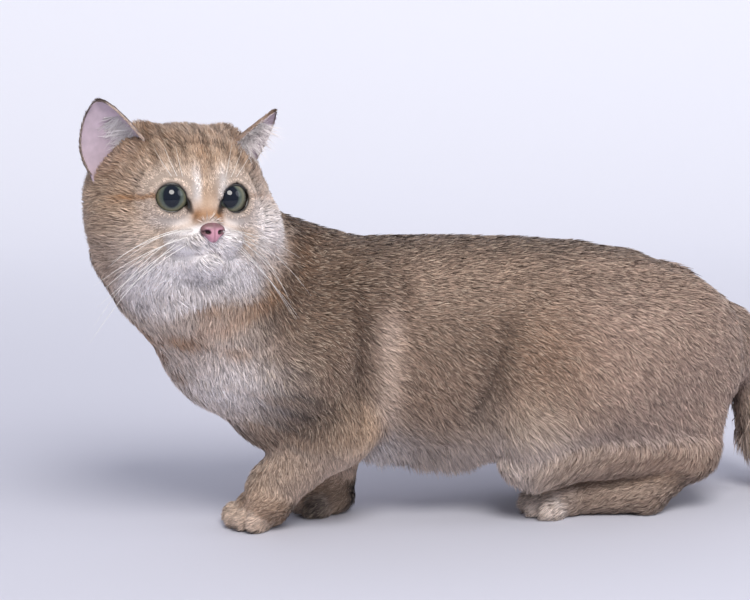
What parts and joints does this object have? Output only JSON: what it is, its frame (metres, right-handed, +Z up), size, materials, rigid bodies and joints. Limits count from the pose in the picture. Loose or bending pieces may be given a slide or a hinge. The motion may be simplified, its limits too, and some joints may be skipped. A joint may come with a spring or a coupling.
{
  "type": "cat",
  "caption": "Short-legged munchkin cat standing still, head turned over its left shoulder, golden ticked plush coat, white muzzle and chin, green eyes, low tail",
  "frame": {"origin": "middle of the bounding box at floor level, where the soles stand", "axes": "+X from the breast to the tail, so the body faces -X; -Y to the cat's left; +Z up"},
  "size_m": [0.5584, 0.1618, 0.2507],
  "materials": {
    "back_coat": "short ticked fur, grey-brown",
    "golden_coat": "short plush fur, sandy gold",
    "pale_coat": "short fine fur, off-white",
    "nose_leather": "bare pink skin, slightly moist",
    "eye": "wet and clear over a grey-green iris"
  },
  "bodies": {
    "root": {"forepaw_left": "golden_coat", "forearm_left": "back_coat", "shoulder_left": "back_coat", "hindpaw_left": "golden_coat", "hock_left": "golden_coat", "shank_left": "back_coat", "thigh_left": "back_coat", "forepaw_right": "golden_coat", "forearm_right": "back_coat", "shoulder_right": "back_coat", "hindpaw_right": "golden_coat", "hock_right": "golden_coat", "shank_right": "back_coat", "thigh_right": "back_coat", "tail_root": "back_coat", "tail_bend": "back_coat", "tail_middle": "back_coat", "tail_tip": "back_coat", "nose": "nose_leather", "jaw": "pale_coat", "muzzle": "pale_coat", "head": "golden_coat", "eye_left": "eye", "eye_right": "eye", "ear_left": "golden_coat", "ear_right": "golden_coat", "neck": "golden_coat", "chest": "back_coat", "loin": "back_coat", "rump": "back_coat"}
  },
  "joints": []
}
